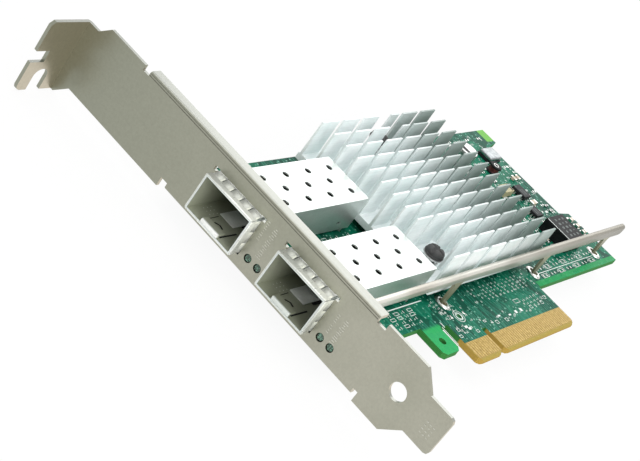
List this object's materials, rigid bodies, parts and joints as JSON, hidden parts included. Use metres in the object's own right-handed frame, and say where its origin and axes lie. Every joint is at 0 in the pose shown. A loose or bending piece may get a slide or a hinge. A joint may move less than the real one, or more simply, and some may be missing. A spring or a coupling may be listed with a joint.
{
  "type": "network interface card",
  "caption": "Expansion card with a full-height bracket, module cages, a finned heat sink held by push pins, a stiffener rail and a gold edge connector.",
  "frame": {"origin": "middle of the key notch at the tip of the edge connector, half way through the board", "axes": "+X along the board away from the bracket, +Y from the edge connector towards the bracket's tab, +Z out of the component side"},
  "size_m": [0.1614, 0.12, 0.0219],
  "materials": {
    "nickel_steel": "satin nickel plate",
    "green_laminate": "green solder mask",
    "gold_plate": "gold plate",
    "rail_steel": "satin tin plate",
    "solder": "bright solder",
    "cage_steel": "bright nickel plate",
    "gasket_bronze": "bright tin plate",
    "black_nylon": "moulded",
    "heat_sink_aluminium": "as sawn",
    "pin_nylon": "moulded",
    "spring_steel": "bright wire",
    "chip_mould": "moulded",
    "thermal_pad": "matt",
    "lamp_lens": "clear, unlit",
    "inductor_ferrite": "moulded",
    "oscillator_lid": "satin",
    "drum_ferrite": "matt",
    "capacitor_can": "satin",
    "tantalum_body": "moulded",
    "small_chip_mould": "moulded",
    "lead_tin": "tin plate",
    "capacitor_ceramic": "matt",
    "resistor_body": "matt"
  },
  "bodies": {
    "root": {"mounting_bracket": "nickel_steel", "circuit_board": "green_laminate", "edge_contacts_component_side": "gold_plate", "edge_contacts_solder_side": "gold_plate", "stiffener_rail": "rail_steel", "rail_solder_joints": "solder", "module_cage_upper": "cage_steel", "module_cage_lower": "cage_steel", "cage_gasket_upper": "gasket_bronze", "cage_gasket_lower": "gasket_bronze", "host_connector_upper": "black_nylon", "host_connector_lower": "black_nylon", "heat_sink": "heat_sink_aluminium", "push_pins": "pin_nylon", "push_pin_springs": "spring_steel", "controller_chip": "chip_mould", "thermal_pad": "thermal_pad", "status_lamps": "lamp_lens", "power_inductor": "inductor_ferrite", "clock_oscillator": "oscillator_lid", "drum_inductor": "drum_ferrite", "electrolytic_capacitor": "capacitor_can", "tantalum_capacitor": "tantalum_body", "regulator_chip": "small_chip_mould", "driver_chip": "small_chip_mould", "regulator_chip_leads": "lead_tin", "driver_chip_leads": "lead_tin", "ceramic_capacitors": "capacitor_ceramic", "chip_resistors": "resistor_body"}
  },
  "joints": []
}
